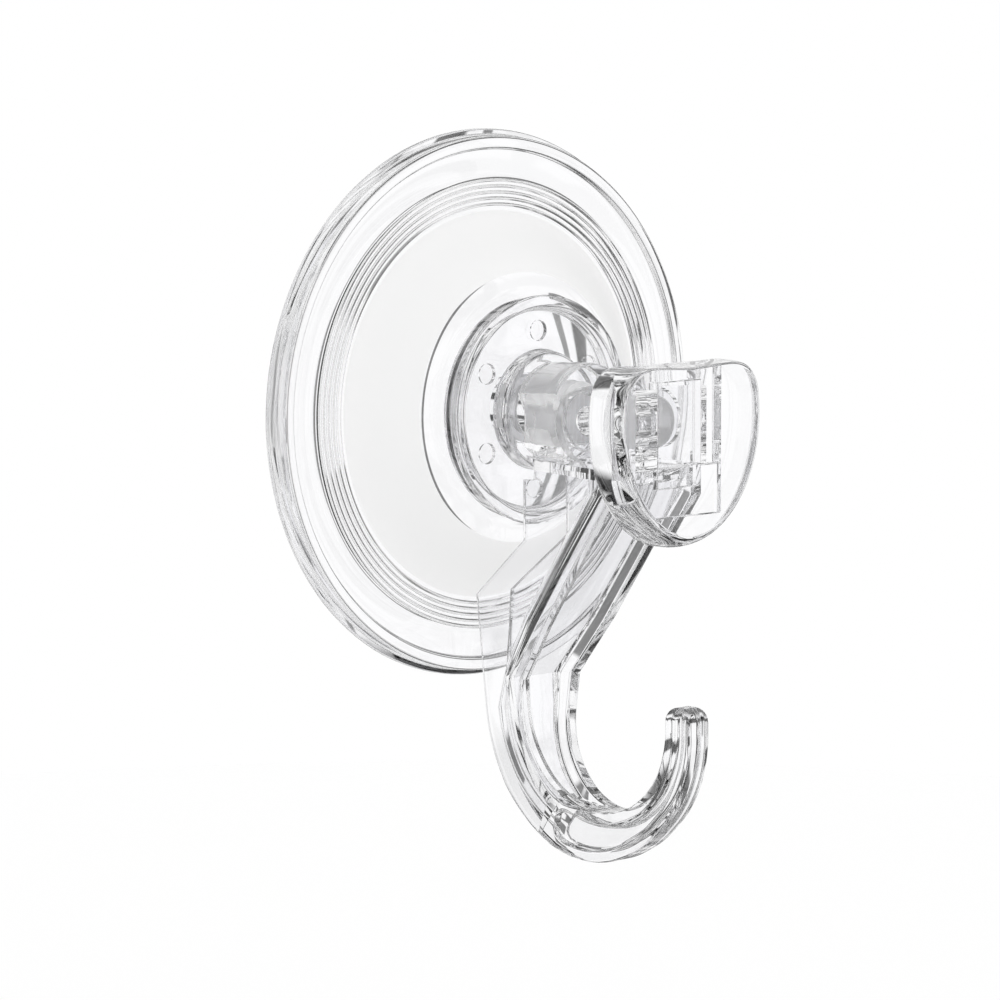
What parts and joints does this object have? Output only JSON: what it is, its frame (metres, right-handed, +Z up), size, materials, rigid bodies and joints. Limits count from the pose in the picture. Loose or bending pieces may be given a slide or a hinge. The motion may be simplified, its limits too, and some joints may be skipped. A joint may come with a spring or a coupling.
{
  "type": "suction cup hook",
  "caption": "Clear suction cup whose flip lever draws its middle off the wall, with a moulded hook on the sleeve round the stem.",
  "frame": {"origin": "where the axis of the cup meets the wall plane", "axes": "+Z up, the tip of the hook pointing up; +Y into the wall; the hook and lever stand out towards -Y; +X to the right seen from the wall's opposite side (from -Y)"},
  "size_m": [0.085, 0.0494, 0.1108],
  "materials": {
    "soft_clear_pvc": "soft, clear and glossy, moulded, slightly matt on the dome",
    "clear_polycarbonate": "hard, clear and glossy, moulded"
  },
  "bodies": {
    "cup_and_hook": {"suction_cup": "soft_clear_pvc", "stem": "clear_polycarbonate", "pressure_cap": "clear_polycarbonate", "hook_body": "clear_polycarbonate", "hinge_pin": "clear_polycarbonate"},
    "lever": {"lever": "clear_polycarbonate"}
  },
  "joints": [
    {"name": "lever_hinge", "type": "hinge", "parent": "cup_and_hook", "child": "lever", "pos_m": [0, -0.0318, 0], "axis": [-1, 0, 0], "range_deg": [0, 75]}
  ]
}
